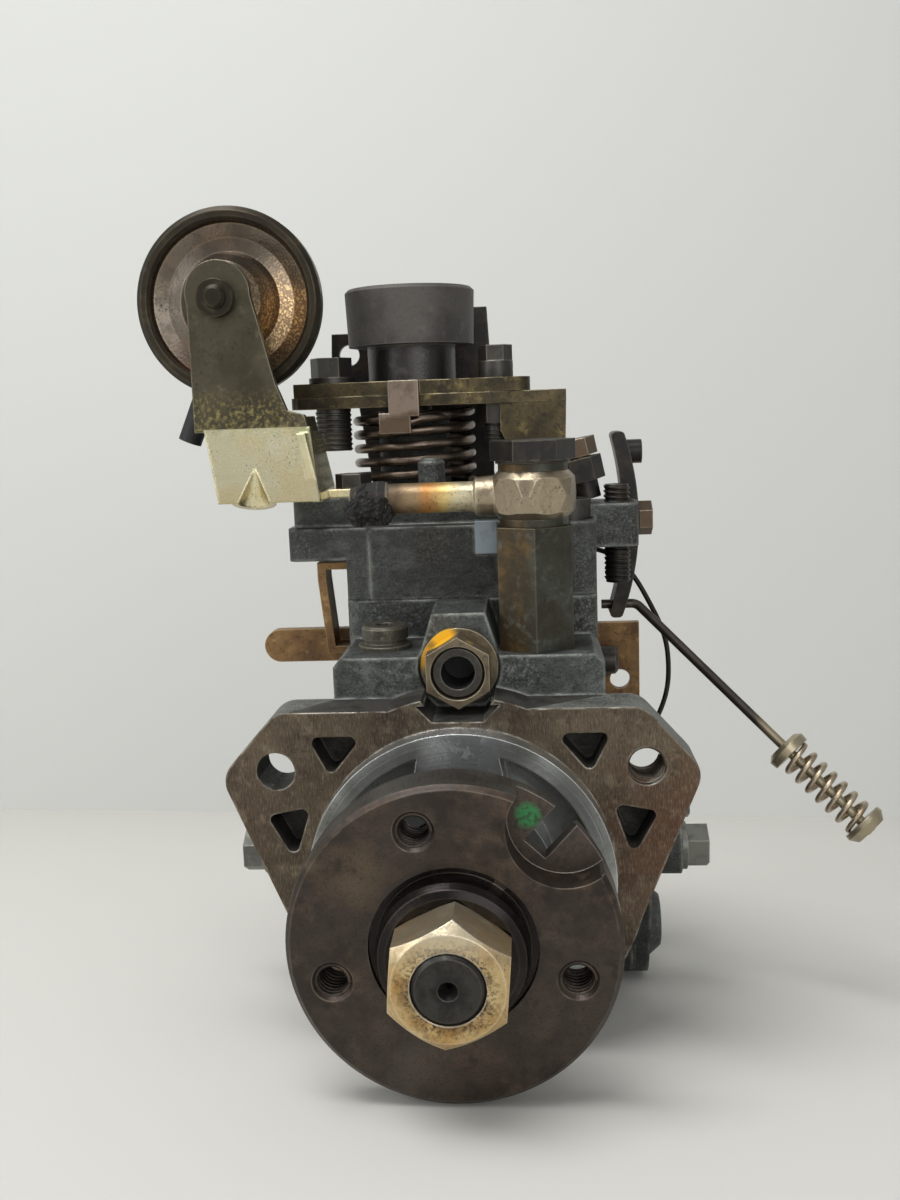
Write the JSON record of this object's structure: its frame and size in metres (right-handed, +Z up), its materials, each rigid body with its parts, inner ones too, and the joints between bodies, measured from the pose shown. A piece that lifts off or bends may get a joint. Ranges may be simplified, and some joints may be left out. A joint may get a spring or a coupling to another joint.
{
  "type": "fuel injection pump",
  "caption": "Rotary distributor-type diesel fuel injection pump with drive hub, inlet union, control lever with return spring, vacuum capsule and delivery head.",
  "frame": {"origin": "centre of the mounting pilot on the face of the flange that seats on the engine", "axes": "+Y along the drive shaft towards the delivery end, +Z up towards the governor cover, +X to the right seen from the drive end"},
  "size_m": [0.1837, 0.2122, 0.2092],
  "materials": {
    "cast_aluminium": "rough cast",
    "machined_aluminium": "machined",
    "dark_steel": "oiled, stained",
    "bright_steel": "ground",
    "yellow_zinc": "yellow passivated zinc, dirty",
    "black_steel": "black phosphate",
    "spring_steel": "oiled",
    "iron_black": "machined",
    "bronze": "plain",
    "copper": "plain",
    "seal_rubber": "plain"
  },
  "bodies": {
    "housing": {"pump_housing": "cast_aluminium", "shaft_seal": "seal_rubber", "shaft_bush": "bronze", "feed_cam_ring": "bright_steel", "feed_cover_plate": "bright_steel", "governor_shaft": "dark_steel", "governor_shaft_nut": "yellow_zinc", "distributor_head": "iron_black", "plunger_spring_set": "spring_steel", "delivery_holders": "dark_steel", "fuel_cut_solenoid": "yellow_zinc", "timer_covers": "cast_aluminium", "governor_cover": "cast_aluminium", "inlet_pillar": "yellow_zinc", "inlet_banjo": "yellow_zinc", "banjo_bolt": "black_steel", "sealing_washers": "copper", "pressure_valve": "black_steel", "housing_screws": "dark_steel", "pivot_screws": "dark_steel", "speed_screws": "black_steel", "vacuum_capsule": "dark_steel", "capsule_bracket": "yellow_zinc", "cable_bracket": "yellow_zinc", "left_stay": "yellow_zinc", "right_stay": "dark_steel", "side_wire": "dark_steel"},
    "drive_train": {"drive_shaft": "dark_steel", "shaft_key": "bright_steel", "drive_hub": "dark_steel", "hub_nut": "yellow_zinc", "governor_drive_gear": "bright_steel", "feed_rotor": "bright_steel", "feed_vanes": "bright_steel", "cam_plate": "bright_steel", "plunger": "bright_steel"},
    "governor_weights_carrier": {"governor_carrier": "bright_steel"},
    "sliding_sleeve": {"governor_sleeve": "bright_steel"},
    "start_lever": {"governor_lever": "yellow_zinc"},
    "spill_control_sleeve": {"spill_sleeve": "bright_steel"},
    "timing_piston": {"timer_piston": "machined_aluminium"},
    "cam_roller_ring": {"roller_ring": "bright_steel"},
    "control_lever": {"throttle_shaft": "dark_steel", "lever_plate": "yellow_zinc", "lever_top_plate": "yellow_zinc", "lever_clamp_bolts": "yellow_zinc", "lever_cap": "dark_steel", "return_spring": "spring_steel"},
    "curved_lever": {"side_lever": "black_steel"},
    "link": {"link_rod": "dark_steel", "link_spring": "spring_steel"},
    "vacuum_rod": {"capsule_rod": "bright_steel"},
    "weight_1": {"flyweight_1": "iron_black"},
    "cam_roller_1": {"roller_1": "bright_steel"},
    "weight_2": {"flyweight_2": "iron_black"},
    "cam_roller_2": {"roller_2": "bright_steel"},
    "weight_3": {"flyweight_3": "iron_black"},
    "cam_roller_3": {"roller_3": "bright_steel"},
    "weight_4": {"flyweight_4": "iron_black"},
    "cam_roller_4": {"roller_4": "bright_steel"}
  },
  "joints": [
    {"name": "drive_spin", "type": "hinge", "parent": "housing", "child": "drive_train", "pos_m": [0, 0, 0], "axis": [0, 1, 0], "continuous": true},
    {"name": "governor_spin", "type": "hinge", "parent": "housing", "child": "governor_weights_carrier", "pos_m": [0, 0, 0.045], "axis": [0, 1, 0], "continuous": true},
    {"name": "sleeve_slide", "type": "slide", "parent": "housing", "child": "sliding_sleeve", "axis": [0, 1, 0], "range_m": [0, 0.0016]},
    {"name": "weight_1_pivot", "type": "hinge", "parent": "governor_weights_carrier", "child": "weight_1", "pos_m": [0.0114, 0.066, 0.045], "axis": [0, 0, -1], "range_deg": [0, 15.5]},
    {"name": "weight_2_pivot", "type": "hinge", "parent": "governor_weights_carrier", "child": "weight_2", "pos_m": [0, 0.066, 0.0564], "axis": [1, 0, 0], "range_deg": [0, 15.5]},
    {"name": "weight_3_pivot", "type": "hinge", "parent": "governor_weights_carrier", "child": "weight_3", "pos_m": [-0.0114, 0.066, 0.045], "axis": [0, 0, 1], "range_deg": [0, 15.5]},
    {"name": "weight_4_pivot", "type": "hinge", "parent": "governor_weights_carrier", "child": "weight_4", "pos_m": [0, 0.066, 0.0336], "axis": [-1, 0, 0], "range_deg": [0, 15.5]},
    {"name": "start_lever_pivot", "type": "hinge", "parent": "housing", "child": "start_lever", "pos_m": [0, 0.0939, 0.028], "axis": [1, 0, 0], "range_deg": [-5.6, 0]},
    {"name": "spill_sleeve_slide", "type": "slide", "parent": "housing", "child": "spill_control_sleeve", "axis": [0, 1, 0], "range_m": [-0.0019, 0]},
    {"name": "timing_slide", "type": "slide", "parent": "housing", "child": "timing_piston", "axis": [1, 0, 0], "range_m": [0, 0.006]},
    {"name": "roller_ring_turn", "type": "hinge", "parent": "housing", "child": "cam_roller_ring", "pos_m": [0, 0, 0], "axis": [0, 1, 0], "range_deg": [-8.5, 0]},
    {"name": "roller_1_spin", "type": "hinge", "parent": "cam_roller_ring", "child": "cam_roller_1", "pos_m": [0.01414, 0.068, 0.01414], "axis": [0.7071, 0, 0.7071], "continuous": true},
    {"name": "roller_2_spin", "type": "hinge", "parent": "cam_roller_ring", "child": "cam_roller_2", "pos_m": [-0.01414, 0.068, 0.01414], "axis": [-0.7071, 0, 0.7071], "continuous": true},
    {"name": "roller_3_spin", "type": "hinge", "parent": "cam_roller_ring", "child": "cam_roller_3", "pos_m": [-0.01414, 0.068, -0.01414], "axis": [-0.7071, 0, -0.7071], "continuous": true},
    {"name": "roller_4_spin", "type": "hinge", "parent": "cam_roller_ring", "child": "cam_roller_4", "pos_m": [0.01414, 0.068, -0.01414], "axis": [0.7071, 0, -0.7071], "continuous": true},
    {"name": "control_lever_turn", "type": "hinge", "parent": "housing", "child": "control_lever", "pos_m": [-0.0135, 0.07, 0.104], "axis": [0, 0, 1], "range_deg": [-35, 0], "stiffness_Nm_per_rad": 0.5, "springref_deg": 20.05, "deforming": ["return_spring"]},
    {"name": "curved_lever_pivot", "type": "hinge", "parent": "housing", "child": "curved_lever", "pos_m": [0, 0.072, 0.072], "axis": [1, 0, 0], "range_deg": [-20, 0]},
    {"name": "link_pivot", "type": "hinge", "parent": "curved_lever", "child": "link", "pos_m": [0, 0.072, 0.0485], "axis": [1, 0, 0], "range_deg": [-25, 25]},
    {"name": "vacuum_rod_slide", "type": "slide", "parent": "housing", "child": "vacuum_rod", "axis": [0, -1, 0], "range_m": [0, 0.006], "stiffness_N_per_m": 1500, "springref_m": -0.002}
  ],
  "couplings": [
    {"joint": "governor_spin", "follows": "drive_spin", "ratio": -1.6087},
    {"joint": "weight_1_pivot", "follows": "sleeve_slide", "rad_per_m": 165},
    {"joint": "weight_2_pivot", "follows": "sleeve_slide", "rad_per_m": 165},
    {"joint": "weight_3_pivot", "follows": "sleeve_slide", "rad_per_m": 165},
    {"joint": "weight_4_pivot", "follows": "sleeve_slide", "rad_per_m": 165},
    {"joint": "start_lever_pivot", "follows": "sleeve_slide", "rad_per_m": -58.82},
    {"joint": "spill_sleeve_slide", "follows": "sleeve_slide", "ratio": -1.147},
    {"joint": "roller_ring_turn", "follows": "timing_slide", "rad_per_m": -24.39},
    {"joint": "roller_1_spin", "follows": "drive_spin", "ratio": -3.3333},
    {"joint": "roller_2_spin", "follows": "drive_spin", "ratio": -3.3333},
    {"joint": "roller_3_spin", "follows": "drive_spin", "ratio": -3.3333},
    {"joint": "roller_4_spin", "follows": "drive_spin", "ratio": -3.3333}
  ]
}
